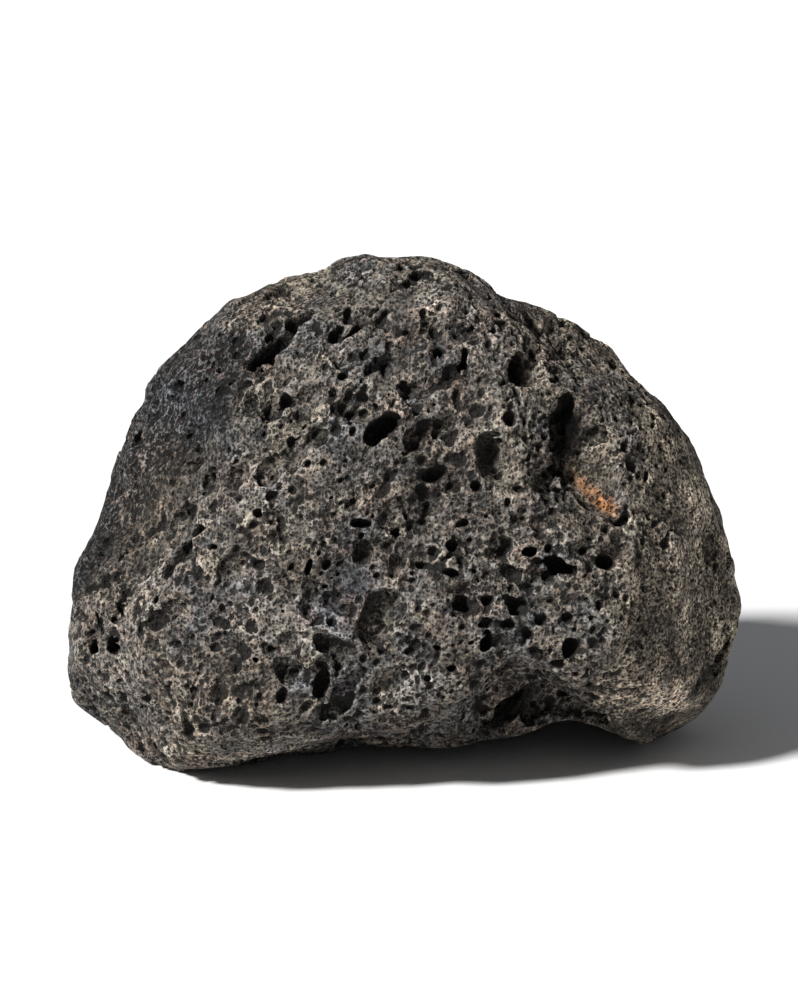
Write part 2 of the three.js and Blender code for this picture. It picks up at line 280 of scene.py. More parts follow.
# the two scoops beside it, each with a lit floor to the right of a deep left wall
bowl(31.2, 27.5, 0.3, (9.5, 7.2, 7.0), -70, 0.3, (-0.5, 0.2))
bowl(36.0, 21.5, -2.5, (9.5, 6.5, 5.5), -60, 0.4, (-0.4, 0.1))
bowl(28.6, 30.0, 3.6, (8.0, 4.8, 8.0), -78, 0.2)
bowl(43.5, 60.0, -0.8, (10.5, 6.8, 6.0), 66, 0.3, (-0.45, 0.2))
bowl(40.2, 62.5, 3.4, (8.2, 4.4, 8.0), 68, 0.2)
# middle: a black lozenge, a slate dish and the wide one under it
bowl(-10.3, 39.6, 2.6, (8.4, 4.3, 8.5), 40, 0.2)
bowl(-10.5, -29, -1.2, (11.5, 8.5, 7.5), 62, 0.3, (-0.5, 0.35))
bowl(-27, -38.5, 1.5, (9.0, 4.0, 6.0), -18, 0.3, (0.0, 0.4))
bowl(-65, -11.5, -0.4, (6.8, 6.0, 5.5), 70, 0.3, (-0.5, 0.3))
bowl(-86, -8, 1.2, (10.0, 3.6, 6.0), 49, 0.2)
# upper left: a long slanting groove with a lit floor on its right, and dishes with steep left walls
bowl(-45.5, 70, -2.2, (12.0, 5.5, 4.8), 49, 0.3, (-0.3, 0.1))
bowl(-50.5, 69.5, 2.4, (12.5, 2.9, 7.0), 49, 0.2)
bowl(-40.0, 80.5, 2.0, (6.5, 3.0, 6.0), 48, 0.2)
bowl(-4.5, 64.5, -1.0, (9.0, 5.6, 5.0), 42, 0.3, (-0.5, 0.0))
bowl(-9.6, 61.5, 2.0, (3.6, 2.0, 4.5), 60, 0.2)
bowl(3.2, 52, -0.8, (6.0, 5.2, 4.6), 50, 0.3, (-0.5, 0.1))
bowl(-1.2, 53.4, 1.4, (4.8, 1.7, 4.2), 56, 0.2)
bowl(-34.3, 52, -1.6, (7.0, 5.2, 4.6), 30, 0.3, (-0.4, 0.1))
bowl(-17, 47.5, -1.6, (7.5, 5.2, 4.6), 25, 0.3, (-0.4, 0.2))
bowl(-33, 36.4, -1.2, (5.2, 4.6, 4.0), 30, 0.3, (-0.4, 0.2))
bowl(-50, 22, -0.8, (4.8, 4.4, 4.0), 30, 0.3, (-0.4, 0.2))
bowl(18, 74, -1.0, (6.0, 4.2, 4.2), 60, 0.3, (-0.5, 0.1))
bowl(1.4, 35, 0.2, (4.8, 4.4, 5.0), 60, 0.3, (-0.5, 0.2))
# the cleft under the right lobe, with a smooth hollow above it, and the arch
bowl(45, -51, -1.6, (12.0, 6.5, 5.5), 42, 0.8)
bowl(38.5, -63.5, 2.0, (14.0, 4.6, 14.0), 48, 0.3)
bowl(31, -72, 3.0, (6.0, 4.4, 10.0), 50, 0.4)
bowl(57, -65, 3.0, (19.0, 10.5, 13.0), 6, 0.8, (0.0, -0.8))


def broad(row):
    return row[5] != "h" and row[3] * row[2] > 80


for row in PITS:
    if broad(row):
        pit(*row)

# ---------------------------------------------------------------- large hollows on the sides that the face hides
AROUND = [
    # direction from the stone's middle (row frame), length, width, turn, kind
    ((0.30, 0.95, 0.25), 30, 22, 40, "d"), ((-0.45, 0.85, 0.15), 22, 15, 70, "p"), ((-0.15, 0.90, -0.25), 17, 12, 10, "h"),
    ((0.62, 0.74, -0.05), 19, 13, 120, "p"), ((-0.72, 0.60, 0.35), 16, 11, 60, "h"), ((0.10, 0.80, 0.58), 21, 13, 30, "p"),
    ((0.95, 0.25, 0.10), 20, 13, 80, "d"), ((0.90, 0.10, 0.42), 12, 9, 50, "p"), ((0.98, -0.05, -0.15), 13, 9, 100, "d"),
    ((-0.95, 0.20, 0.15), 18, 12, 75, "d"), ((-0.88, 0.40, -0.20), 13, 9, 40, "h"), ((-0.97, -0.10, 0.25), 10, 7, 60, "p"),
    ((0.15, 0.20, 0.97), 17, 11, 20, "d"), ((-0.30, 0.35, 0.89), 13, 9, 70, "p"), ((0.45, 0.30, 0.84), 12, 8, 110, "h"),
    ((0.05, 0.99, 0.02), 12, 9, 30, "h"), ((-0.30, 0.93, 0.40), 11, 8, 80, "p"), ((0.45, 0.85, -0.30), 13, 9, 50, "p"),
    ((-0.60, 0.75, -0.25), 15, 10, 20, "d"), ((0.75, 0.60, 0.30), 10, 8, 0, "h"), ((-0.05, 0.62, 0.78), 9, 7, 45, "h"),
]
MIDDLE = (LOW + HIGH) / 2


def on_hull(direction):
    hit, normal, _, _ = tree.ray_cast(Vector(MIDDLE), Vector(unit(np.array(direction, float))))
    return np.array(hit), np.array(normal)


for direction, length, width, turn, kind in AROUND:
    p, n = on_hull(direction)
    t = math.radians(turn)
    flat = frame_on(n, np.array([0.2, 0.1, 1.0]))
    pit_at(p, n, math.cos(t) * flat[0] + math.sin(t) * flat[1], length, width, kind)


def surface_points(array):
    """Vertices of the field's zero surface, with outward normals, in mm. They are spread evenly, one to a cell."""
    g = vdb.FloatGrid()
    g.background = float(array.max())
    g.copyFromArray(array)
    g.transform = vdb.createLinearTransform(voxelSize=VOXEL)
    pts, quads = g.convertToQuads(isovalue=0)
    return pts + (FIRST * VOXEL).astype(np.float32), quads


def sample(array, pts):
    """Trilinear value of a field at points in mm."""
    x = np.clip(pts / VOXEL - FIRST, 0, SHAPE - 1.001)
    i = x.astype(int)
    f = (x - i).astype(np.float32)
    out = 0
    for dx in (0, 1):
        for dy in (0, 1):
            for dz in (0, 1):
                w = (f[:, 0] if dx else 1 - f[:, 0]) * (f[:, 1] if dy else 1 - f[:, 1]) * (f[:, 2] if dz else 1 - f[:, 2])
                out = out + w * array[i[:, 0] + dx, i[:, 1] + dy, i[:, 2] + dz]
    return out


def gradient(array, pts):
    e = 0.9 * VOXEL
    g = np.stack([sample(array, pts + s) - sample(array, pts - s) for s in np.eye(3) * e], 1)
    return g / (np.linalg.norm(g, axis=1)[:, None] + 1e-9)


CALM = []  # places where no random vesicle goes: the large hollows keep their own smooth walls
for a, b, length, width, turn, kind in PITS:
    if kind != "h" and length * width > 60:
        CALM.append((on_face(a, b)[0], math.sqrt(length * width) * 0.46))
for a, b, r in (
    (63, 43, 12), (65, 30, 14), (68, 17, 11), (31, 27.5, 9), (36, 20, 6), (43, 60, 8), (-10, 39, 10), (46, -48, 7), (39, -55, 7),
    (36, -65, 7), (-54, 66, 4.5), (-46, 72, 5), (-40, 80, 4), (-4, 64.5, 5.5), (3.5, 52, 4.5), (-10.5, -29, 9), (-27, -38.5, 5),
    (-65, -11.5, 5), (-86, -8, 4), (-17, 47.5, 4), (-34, 52, 4),
):
    CALM.append((on_face(a, b)[0], r))


def quiet(p, share=1.0):
    return any(np.dot(p - q, p - q) < (share * r) ** 2 for q, r in CALM)


# shallow dishes of middle size, all over, with their own small vesicles inside later
spots, _ = surface_points(phi)
spots = spots[rng.permutation(len(spots))[: int(len(spots) * VOXEL * VOXEL * 1.15 * 0.0056)]]
leans = gradient(phi, spots)
for p, n in zip(spots.astype(float), leans.astype(float)):
    if p[2] < 4:
        continue
    width = 4.0 + 8.5 * rng.random() ** 2.2
    turn = FLOW + rng.normal(0, 0.5)
    leaning = unit(n + 0.6 * rng.random() * (0.4 * B_AXIS - A_AXIS)) if n @ D_AXIS < 0 else n
    axes = frame_on(leaning, math.cos(turn) * A_AXIS + math.sin(turn) * B_AXIS)
    stretch = 1 + 0.8 * rng.random()
    ra, rb, rc = width / 2 * math.sqrt(stretch), width / 2 / math.sqrt(stretch), width / 2 * rng.uniform(0.7, 1.0)
    _, bb, _ = to_face(p)
    aa = (p - FACE_ORIGIN) @ A_AXIS
    if n @ D_AXIS < 0 and aa > 79 + 0.14 * bb:
        continue  # the smooth right side has none
    if quiet(p, 1.4):
        continue
    cut(p + n * (rc * rng.uniform(0.10, 0.60)), axes, (ra, rb, rc), 0.2)


# ---------------------------------------------------------------- zones
def zones(pts, normals):
    """How much of each kind of surface there is at a point: smooth right side, slate left flank, top, underside and back."""
    a, b, d = to_face(pts)
    facing = -(normals @ D_AXIS)
    front = smoothstep(-0.25, 0.15, facing)
    right = smoothstep(-9, 9, a - (79 + 0.14 * b)) * front
    right = np.maximum(right, smoothstep(-8, 10, b - (126 - 0.85 * a)) * front * smoothstep(20, 40, a))
    flank = smoothstep(5, -5, a - (-100 + 0.80 * (b - 5))) * front * smoothstep(-38, -16, b) * smoothstep(88, 70, b)
    back = 1 - front
    return {"right": right, "flank": flank, "back": back, "front": front, "a": a, "b": b, "d": d}


# ---------------------------------------------------------------- small vesicles, by zone
stage_points, _ = surface_points(phi)
stage_normals = gradient(phi, stage_points)
local_phi = phi.copy()  # with the large hollows but no small vesicles: small ones are measured from here
for row in PITS:
    if not broad(row):
        pit(*row)
keep = stage_points[:, 2] > 0.6
stage_points, stage_normals = stage_points[keep], stage_normals[keep]
z = zones(stage_points, stage_normals)
area_each = VOXEL * VOXEL * 1.15  # mm2 of surface to one vertex, roughly
clump = np.zeros(len(stage_points), np.float32)
for wave, seed in ((23.0, 31), (11.0, 32)):
    r = np.random.default_rng(seed)
    for _ in range(5):
        k = unit(r.standard_normal(3)) * (2 * math.pi / wave) * r.uniform(0.8, 1.25)
        clump += np.sin(stage_points @ k + r.uniform(0, 6.28)).astype(np.float32)
clump /= 3.2


class Spread:
    """Keeps vesicles from lying on top of each other."""

    def __init__(self, cell):
        self.cell, self.held = cell, {}

    def key(self, p):
        return int(p[0] // self.cell), int(p[1] // self.cell), int(p[2] // self.cell)

    def fits(self, p, r, near):
        i, j, k = self.key(p)
        for di in (-1, 0, 1):
            for dj in (-1, 0, 1):
                for dk in (-1, 0, 1):
                    for q, s in self.held.get((i + di, j + dj, k + dk), ()):
                        if (p[0] - q[0]) ** 2 + (p[1] - q[1]) ** 2 + (p[2] - q[2]) ** 2 < (near * (r + s)) ** 2:
                            return False
        self.held.setdefault((i, j, k), []).append((p, r))
        return True


spread = Spread(9.0)
for row in PITS:
    p, n = on_face(row[0], row[1])
    if p is not None and row[5] != "d":
        spread.fits(tuple(p), math.sqrt(row[2] * row[3]) / 2, 0.0)

# size class: (low and high diameter in mm, number to a mm2 in each zone: plain face, right, flank, back), spacing
CLASSES = [
    ((4.0, 6.8), (0.0016, 0.0000, 0.0004, 0.0024), 0.85),
    ((2.7, 4.2), (0.0120, 0.0006, 0.0050, 0.0100), 0.74),
    ((1.9, 2.8), (0.0420, 0.0060, 0.0300, 0.0240), 0.72),
    ((1.5, 2.1), (0.0260, 0.0200, 0.0300, 0.0000), 0.78),
]
for (small, large), density, near in CLASSES:
    rate = (
        density[0]
        + (density[1] - density[0]) * z["right"]
        + (density[2] - density[0]) * z["flank"]
        + (density[3] - density[0]) * z["back"]
    )
    rate = np.clip(rate, 0, None) * np.clip(1 + 0.75 * clump, 0.15, 2.2)
    tries = np.flatnonzero(rng.random(len(stage_points)) < rate * area_each * 1.9)
    rng.shuffle(tries)
    target = int(rate.sum() * area_each)
    got = 0
    for i in tries:
        if got >= target:
            break
        p = stage_points[i]
        dia = small + (large - small) * rng.random() ** 1.6
        u = rng.random(5)
        if rng.random() < 0.92 and quiet(p, 0.9):
            continue
        if not spread.fits((float(p[0]), float(p[1]), float(p[2])), dia / 2, near):
            continue
        got += 1
        n = stage_normals[i].astype(float)
        b = float(z["b"][i])
        pull = 0.9 if b > 20 else 0.45  # drawn out most in the upper half
        pull = pull + 0.5 * float(z["flank"][i])
        angle = FLOW + (u[0] - 0.5) * 0.9 + (0.25 if b > 40 else 0.0)
        if b < 0:
            angle += (u[1] - 0.5) * 1.6
        axes = frame_on(n, math.cos(angle) * A_AXIS + math.sin(angle) * B_AXIS + 0.3 * (u[2] - 0.5) * D_AXIS)
        stretch = 1 + pull * u[3] ** 1.3
        ra = dia / 2 * math.sqrt(stretch)
        rb = dia / 2 / math.sqrt(stretch)
        rc = dia / 2 * (0.75 + 0.6 * u[4])
        sink = 0.35 - 0.95 * rng.random() ** 1.1
        cut(p.astype(float) - n * (sink * rc), axes, (ra, rb, rc), 0.3)

phi += 0.55 * wobble

# nothing reaches below the plane that it stands on
below = -lattice(2)[None, None, :].astype(np.float32)
np.maximum(phi, below, out=phi)

# ---------------------------------------------------------------- one closed mesh
points, quads = surface_points(phi)
STRETCH = 1.8  # the front half is stretched while faces are thinned out, so that it keeps more of them


def stretch_front(v, factor):
    out = v.copy()
    middle = MIDDLE[1] + 12
    front = out[:, 1] < middle
    out[front, 1] = middle + (out[front, 1] - middle) * factor
    return out


def mesh_from(name, verts_m, faces):
    me = bpy.data.meshes.new(name)
    me.vertices.add(len(verts_m))
    me.vertices.foreach_set("co", np.ascontiguousarray(verts_m, np.float32).ravel())
    size = faces.shape[1]
    me.loops.add(faces.size)
    me.loops.foreach_set("vertex_index", np.ascontiguousarray(faces, np.int32).ravel())
    me.polygons.add(len(faces))
    me.polygons.foreach_set("loop_start", np.arange(0, faces.size, size, dtype=np.int32))
    me.update(calc_edges=True)
    return me


dense = mesh_from("dense", stretch_front(points, STRETCH), quads[:, ::-1])
thin = bpy.data.objects.new("dense", dense)
bpy.context.scene.collection.objects.link(thin)
dec = thin.modifiers.new("thin", "DECIMATE")
dec.ratio = min(1.0, TRIANGLES / (2 * len(quads)))
dec.use_collapse_triangulate = True
low = thin.evaluated_get(bpy.context.evaluated_depsgraph_get()).to_mesh()
verts = np.empty(len(low.vertices) * 3, np.float32)
low.vertices.foreach_get("co", verts)
verts = stretch_front(verts.reshape(-1, 3), 1 / STRETCH).astype(float)
tris = np.empty(len(low.polygons) * 3, np.int32)
low.polygons.foreach_get("vertices", tris)
tris = tris.reshape(-1, 3)
bpy.data.objects.remove(thin)
bpy.data.meshes.remove(dense)


def largest_shell(verts, tris):
    """Drops every loose scrap and sealed bubble: only the stone's own skin is kept."""
    label = np.arange(len(verts))
    edges = np.concatenate([tris[:, [0, 1]], tris[:, [1, 2]]])
    while True:
        low_label = np.minimum(label[edges[:, 0]], label[edges[:, 1]])
        new = label.copy()
        np.minimum.at(new, edges[:, 0], low_label)
        np.minimum.at(new, edges[:, 1], low_label)
        new = np.minimum(new, new[new])
        new = new[new]
        if (new == label).all():
            break
        label = new
    names, counts = np.unique(label, return_counts=True)
    keep = label == names[counts.argmax()]
    remap = np.cumsum(keep) - 1
    kept = tris[keep[tris].all(1)]
    return verts[keep], remap[kept]


verts, tris = largest_shell(verts, tris)
verts[:, 2] = np.maximum(verts[:, 2], 0)
verts[:, 2] -= verts[:, 2].min()
mesh = mesh_from("lava_rock_skin", verts / 1000, tris)
mesh.validate()
mesh.polygons.foreach_set("use_smooth", np.ones(len(mesh.polygons), bool))
rock = bpy.data.objects.new("lava_rock_skin", mesh)
bpy.context.scene.collection.objects.link(rock)

# ---------------------------------------------------------------- what the material reads at each vertex
verts = np.empty(len(mesh.vertices) * 3, np.float32)
mesh.vertices.foreach_get("co", verts)
verts = verts.reshape(-1, 3).astype(float) * 1000
hull_normal = gradient(smooth_phi, verts)
zone = zones(verts, hull_normal)


def box_blur(array, reach_mm):
    n = max(1, round(reach_mm / VOXEL))
    for axis in range(3):
        total = np.cumsum(array, axis=axis, dtype=np.float32)
        total = np.moveaxis(total, axis, 0)
        out = np.empty_like(total)
        size = len(total)
        out[n + 1 : size - n] = total[2 * n + 1 :] - total[: size - 2 * n - 1]
        out[: n + 1] = 0
        out[size - n :] = out[size - n - 1]
        out /= 2 * n + 1
        array = np.ascontiguousarray(np.moveaxis(out, 0, axis))
    return array


def keep_attribute(name, values):
    attr = mesh.attributes.new(name, "FLOAT", "POINT")
    attr.data.foreach_set("value", np.ascontiguousarray(values, np.float32))


def blob(spots, soft=0.5):
    """Strength of a set of painted patches: (a, b, half width, half height, turn, strength) on the broad face."""
    out = np.zeros(len(verts))
    for a, b, ra, rb, turn, strength in spots:
        p, n = on_face(a, b)
        if p is None:
            continue
        t = math.radians(turn)
        off = verts - p
        x = off @ A_AXIS * math.cos(t) + off @ B_AXIS * math.sin(t)
        y = -off @ A_AXIS * math.sin(t) + off @ B_AXIS * math.cos(t)
        s = np.sqrt((x / ra) ** 2 + (y / rb) ** 2 + (off @ n / (1.6 * max(ra, rb))) ** 2)
        out = np.maximum(out, strength * (1 - smoothstep(1 - soft, 1 + soft, s)))
    return out


# how enclosed each place is, close up and over a wider reach: about 0.5 on a flat, less on an edge, more in a hollow.
# The material paints shade where it is high, and a lighter edge that is partly a painted highlight where it is low
solid = np.clip(0.5 - phi / (2 * VOXEL), 0, 1)
keep_attribute("cave", sample(box_blur(solid, 1.3), verts))
keep_attribute("cavern", sample(box_blur(solid, 4.0), verts))
del solid
# depths under the surface with and without the small vesicles: the material paints shade into pits and deep hollows by
# them
keep_attribute("pore", -sample(local_phi, verts))
depth = -sample(smooth_phi, verts)
keep_attribute("hollow", depth)
keep_attribute("right", zone["right"])
keep_attribute("even", zone["right"] * (1 - 0.75 * smoothstep(5, 45, zone["b"])))
keep_attribute("flank", zone["flank"])
keep_attribute("streak", np.maximum(smoothstep(8, 34, zone["b"]), zone["flank"]) * (1 - zone["right"]))
keep_attribute("rust", blob([(66, 16.5, 10.0, 2.4, -44, 0.5), (70.5, 12, 5.0, 2.5, -32, 1.0), (60, 23, 4, 3, -60, 0.35)], 0.6))
keep_attribute(
    "tan",
    blob(
        [
            (96, -58, 22, 15, 20, 0.35), (-107, -18, 9, 14, 70, 0.5), (71, -1, 6, 5, 0, 0.6), (-51, 86, 20, 9, 30, 0.7),
            (59, 74, 24, 9, -28, 0.5), (-70, -60, 34, 18, 10, 0.5), (110, -24, 12, 26, 80, 0.4), (-75, 62, 12, 16, 50, 0.45),
        ],
        0.7,
    ),
)
keep_attribute(
    "slate",
    blob(
        [
            (-19, -15, 9, 9, 0, 0.9), (-32, -26, 9, 6, 0, 0.7), (-39, -54, 7, 5, 0, 0.7), (-19, 1, 9, 7, 0, 0.7),
            (-21, -58, 9, 10, 0, 0.5), (-85, 49, 10, 22, 60, 0.6), (-24, -66, 10, 7, 0, 0.6), (-9, 25, 10, 5, 0, 0.4),
        ],
        0.6,
    ),
)
keep_attribute("pale", blob([(3, -54, 8, 7, 0, 1.0), (14, -2, 12, 8, 20, 0.4), (-60, 20, 14, 9, 20, 0.3)], 0.6))
keep_attribute(
    "shade",
    blob(
        [
            (56.5, 42, 16, 6, 82, 1.0), (28.5, 30, 9, 5.5, 100, 1.0), (40, 62.5, 9.5, 5, 66, 1.0), (38.5, -64, 15, 6.5, 48, 1.0),
            (-50.5, 69.5, 14, 4, 49, 1.0), (-40, 80.5, 7, 4, 48, 1.0), (-15.5, -24, 9, 4.5, 62, 0.8), (-27, -36.5, 9, 3.5, -18, 0.8),
            (-10.3, 39.6, 10, 6, 40, 1.0), (-68, -9, 6, 3.5, 60, 0.7), (-86, -8, 10, 4, 49, 0.9), (-10, 61, 5, 3, 60, 0.9),
        ],
        0.35,
    )
    * smoothstep(1.2, 3.4, depth),
)
# painted shade over the lower right lobe, and a darker tone on the left flank
keep_attribute("lobe_shade_flank_dim", blob([(93, -60, 25, 16, 15, 1.0), (60, -58, 12, 8, 0, 0.6), (-97, 8, 12, 28, -22, 0.9)], 0.6))
keep_attribute("floor", blob([(68, 28, 9, 14, -10, 1.0), (37, 20, 6, 8, 20, 0.6), (46, 59, 4, 8, -20, 0.6)], 0.5))


def blots(step, seed):
    """Smooth noise with lumps of about that step, in mm, at the mesh's vertices: normal, with a spread of 1."""
    r = np.random.default_rng(seed)
    x = (verts - LOW) / step + 3
    cell = np.floor(x).astype(int)
    f = x - cell
    w = np.stack([(1 - f) ** 3, 3 * f**3 - 6 * f**2 + 4, -3 * f**3 + 3 * f**2 + 3 * f + 1, f**3]) / 6
    coarse = r.standard_normal(cell.max(0) + 4)
    out = 0
    for i in range(4):
        for j in range(4):
            for k in range(4):
                out = out + w[i, :, 0] * w[j, :, 1] * w[k, :, 2] * coarse[cell[:, 0] + i, cell[:, 1] + j, cell[:, 2] + k]
    return out / out.std()


def blotch(step, seed, lo, hi, fine=0.6):
    return smoothstep(lo, hi, blots(step, seed) + fine * blots(step * 0.45, seed + 100))


keep_attribute("tone", blotch(16.0, 41, -1.2, 1.2))
keep_attribute("warm", blotch(8.0, 42, 0.2, 1.7))
keep_attribute("cool", blotch(9.0, 43, 0.2, 1.7))
keep_attribute("olive", blotch(8.0, 44, 0.4, 1.8))
keep_attribute("cream", blotch(6.0, 45, 0.9, 2.2))
mottle = 0.8 * blots(1.9, 49) + blots(3.6, 46) + blots(7.5, 47) + 0.9 * blots(15.0, 50)
keep_attribute("mottle", np.clip(np.exp(mottle * (0.13 + 0.14 * zone["right"])), 0.3, 2.6))
keep_attribute("patchy", blotch(6.0, 48, -1.3, 0.9))

# ---------------------------------------------------------------- a flat layout for baking: six charts, one to a side
loops = np.empty(len(mesh.polygons) * 3, np.int32)
mesh.loops.foreach_get("vertex_index", loops)
loops = loops.reshape(-1, 3)
centres = verts[loops].mean(1)
out = (centres - MIDDLE) / ((HIGH - LOW) / 2) ** 2
out /= np.linalg.norm(out, axis=1)[:, None]
side = np.abs(out).argmax(1) * 2 + (np.take_along_axis(out, np.abs(out).argmax(1)[:, None], 1)[:, 0] > 0)
uv = np.zeros((len(loops), 3, 2))
FLAT = {0: (1, 2, -1), 1: (1, 2, 1), 2: (0, 2, 1), 3: (0, 2, -1), 4: (0, 1, -1), 5: (0, 1, 1)}
rows = [[2, 3], [5, 4], [0, 1]]
y0 = 0.0
widest = 0.0
spots = {}
for row in rows:
    x0 = 0.0
    tall = 0.0
    for s in row:
        i, j, sign = FLAT[s]
        p = verts[loops[side == s]]
        q = np.stack([p[..., i] * sign, p[..., j]], -1)
        lo, hi = q.reshape(-1, 2).min(0), q.reshape(-1, 2).max(0)
        uv[side == s] = q - lo + [x0, y0]
        x0 += hi[0] - lo[0] + 4
        tall = max(tall, hi[1] - lo[1])
    widest = max(widest, x0)
    y0 += tall + 4
uv = (uv + 2) / (max(widest, y0) + 2)
layer = mesh.uv_layers.new(name="OFBake")
layer.data.foreach_set("uv", np.ascontiguousarray(uv, np.float32).ravel())


# ---------------------------------------------------------------- the stone's material
material = bpy.data.materials.new("lava_stone")
material.use_nodes = True
tree_n = material.node_tree
tree_n.nodes.clear()
link = tree_n.links.new


def put(sock, value):
    if isinstance(value, bpy.types.NodeSocket):
        link(value, sock)
    else:
        sock.default_value = value


def math_n(op, a, b=0.0, c=0.0, clamp=False):
    n = tree_n.nodes.new("ShaderNodeMath")
    n.operation, n.use_clamp = op, clamp
    for s, v in zip(n.inputs, (a, b, c)):
        put(s, v)
    return n.outputs[0]


def mul(a, b):
    return math_n("MULTIPLY", a, b)


def add(a, b):
    return math_n("ADD", a, b)


def sub(a, b):
    return math_n("SUBTRACT", a, b)


def ramp(value, lo, hi, out_lo=0.0, out_hi=1.0):
    n = tree_n.nodes.new("ShaderNodeMapRange")
    n.interpolation_type = "SMOOTHSTEP"
    put(n.inputs["Value"], value)
    for name, v in (("From Min", lo), ("From Max", hi), ("To Min", out_lo), ("To Max", out_hi)):
        put(n.inputs[name], v)
    return n.outputs[0]


def mix(factor, first, second, blend="MIX"):
    n = tree_n.nodes.new("ShaderNodeMix")
    n.data_type, n.blend_type = "RGBA", blend
    put(n.inputs[0], factor)
    put(n.inputs[6], first)
    put(n.inputs[7], second)
    return n.outputs[2]


def attribute(name):
    n = tree_n.nodes.new("ShaderNodeAttribute")
    n.attribute_name = name
    return n.outputs["Fac"]


def vec(op, a, b=None, scale=None):
    n = tree_n.nodes.new("ShaderNodeVectorMath")
    n.operation = op
    put(n.inputs[0], a)
    if b is not None:
        put(n.inputs[1], b)
    if scale is not None:
        put(n.inputs["Scale"], scale)
    return n.outputs[0]


def noise(at, size_mm, detail=2.0, rough=0.5):
    n = tree_n.nodes.new("ShaderNodeTexNoise")
    put(n.inputs["Vector"], at)
    n.inputs["Scale"].default_value = 1.0 / size_mm
    n.inputs["Detail"].default_value = detail
    n.inputs["Roughness"].default_value = rough
    return n.outputs["Fac"], n.outputs["Color"]


def cells(at, size_mm, randomness=1.0):
    n = tree_n.nodes.new("ShaderNodeTexVoronoi")
    n.feature = "F1"
    put(n.inputs["Vector"], at)
    n.inputs["Scale"].default_value = 1.0 / size_mm
    n.inputs["Randomness"].default_value = randomness
    split = tree_n.nodes.new("ShaderNodeSeparateColor")
    link(n.outputs["Color"], split.inputs[0])
    return n.outputs["Distance"], split.outputs[0], split.outputs[1]


def foam(at, size_mm, shallow=0.2):
    """Small open cells that touch. Gives the cells' depth, 0 on a wall to 1, the walls, and a random to each cell."""
    distance, pick, tint = cells(at, size_mm)
    deep = mul(ramp(distance, 0.56, 0.38), ramp(pick, 0.15, 0.75, shallow, 1.0))
    return deep, ramp(distance, 0.60, 0.85), tint


coord = tree_n.nodes.new("ShaderNodeTexCoord").outputs["Object"]
P = vec("SCALE", coord, scale=1000.0)  # mm
# drawn out along the flow: that direction is squeezed before a pattern is laid
FLOW_ROW = tuple(float(x) for x in math.cos(FLOW) * A_AXIS + math.sin(FLOW) * B_AXIS)
along = tree_n.nodes.new("ShaderNodeVectorMath")
along.operation = "DOT_PRODUCT"
put(along.inputs[0], P)
along.inputs[1].default_value = FLOW_ROW
drawn = vec("SUBTRACT", P, vec("SCALE", FLOW_ROW, scale=mul(along.outputs["Value"], 0.42)))
bend = vec("SCALE", vec("SUBTRACT", noise(P, 1.9, 1.0)[1], (0.5, 0.5, 0.5)), scale=0.8)
Q = vec("ADD", P, bend)
D = vec("ADD", drawn, bend)

pore, hollow, cave, cavern = attribute("pore"), attribute("hollow"), attribute("cave"), attribute("cavern")
right, flank = attribute("right"), attribute("flank")
rust, tan, slate, pale, floor_patch = (attribute(n) for n in ("rust", "tan", "slate", "pale", "floor"))
streak, patchy, mottle = attribute("streak"), attribute("patchy"), attribute("mottle")

open_a, wall_a, _ = foam(Q, 2.3)
open_d, wall_d, _ = foam(D, 1.6)
open_a = add(mul(open_a, sub(1.0, streak)), mul(open_d, streak))
wall_a = add(mul(wall_a, sub(1.0, streak)), mul(wall_d, streak))
open_b, wall_b, tint_b = foam(vec("ADD", Q, (13.7, 5.1, 8.3)), 1.2, 0.1)
strong_a = mul(math_n("MAXIMUM", patchy, flank), sub(1.0, mul(attribute("even"), 0.85)))
grain = noise(P, 0.45, 2.0, 0.65)[0]
rough_mid = noise(P, 1.3, 1.0, 0.6)[0]
rough_low = noise(P, 3.0, 2.0, 0.6)[0]

height = mul(mul(open_a, strong_a), -0.85)
height = add(height, mul(open_b, -0.40))
height = add(height, mul(rough_mid, 0.8))
height = add(height, mul(rough_low, 1.2))
height = add(height, mul(grain, 0.2))
bump = tree_n.nodes.new("ShaderNodeBump")
bump.inputs["Strength"].default_value = 1.0
bump.inputs["Distance"].default_value = 0.001
put(bump.inputs["Height"], height)

# colour
base = mix(attribute("tone"), (0.071, 0.064, 0.056, 1), (0.100, 0.090, 0.076, 1))
base = mix(mul(attribute("warm"), 0.42), base, (0.112, 0.079, 0.062, 1))
base = mix(mul(attribute("cool"), 0.55), base, (0.050, 0.055, 0.062, 1))
base = mix(mul(attribute("olive"), 0.30), base, (0.088, 0.084, 0.060, 1))
base = mix(mul(attribute("cream"), 0.50), base, (0.150, 0.126, 0.096, 1))
base = mix(mul(tan, 0.75), base, (0.140, 0.114, 0.084, 1))
base = mix(mul(right, 0.75), base, (0.178, 0.150, 0.112, 1))
base = mix(mul(flank, 0.85), base, (0.014, 0.0155, 0.018, 1))
# painted shade on the lower right lobe; the left flank darker
base = mix(mul(attribute("lobe_shade_flank_dim"), 0.85), base, (0.044, 0.0365, 0.027, 1))
base = mix(mul(slate, 0.75), base, (0.040, 0.046, 0.056, 1))
base = mix(mul(pale, 0.7), base, (0.165, 0.155, 0.142, 1))
base = mix(mul(floor_patch, 0.75), base, (0.165, 0.143, 0.109, 1))
base = mix(mul(ramp(tint_b, 0.60, 0.95), 0.35), base, (0.110, 0.072, 0.054, 1))
base = mix(mul(ramp(tint_b, 0.40, 0.05), 0.35), base, (0.058, 0.063, 0.069, 1))
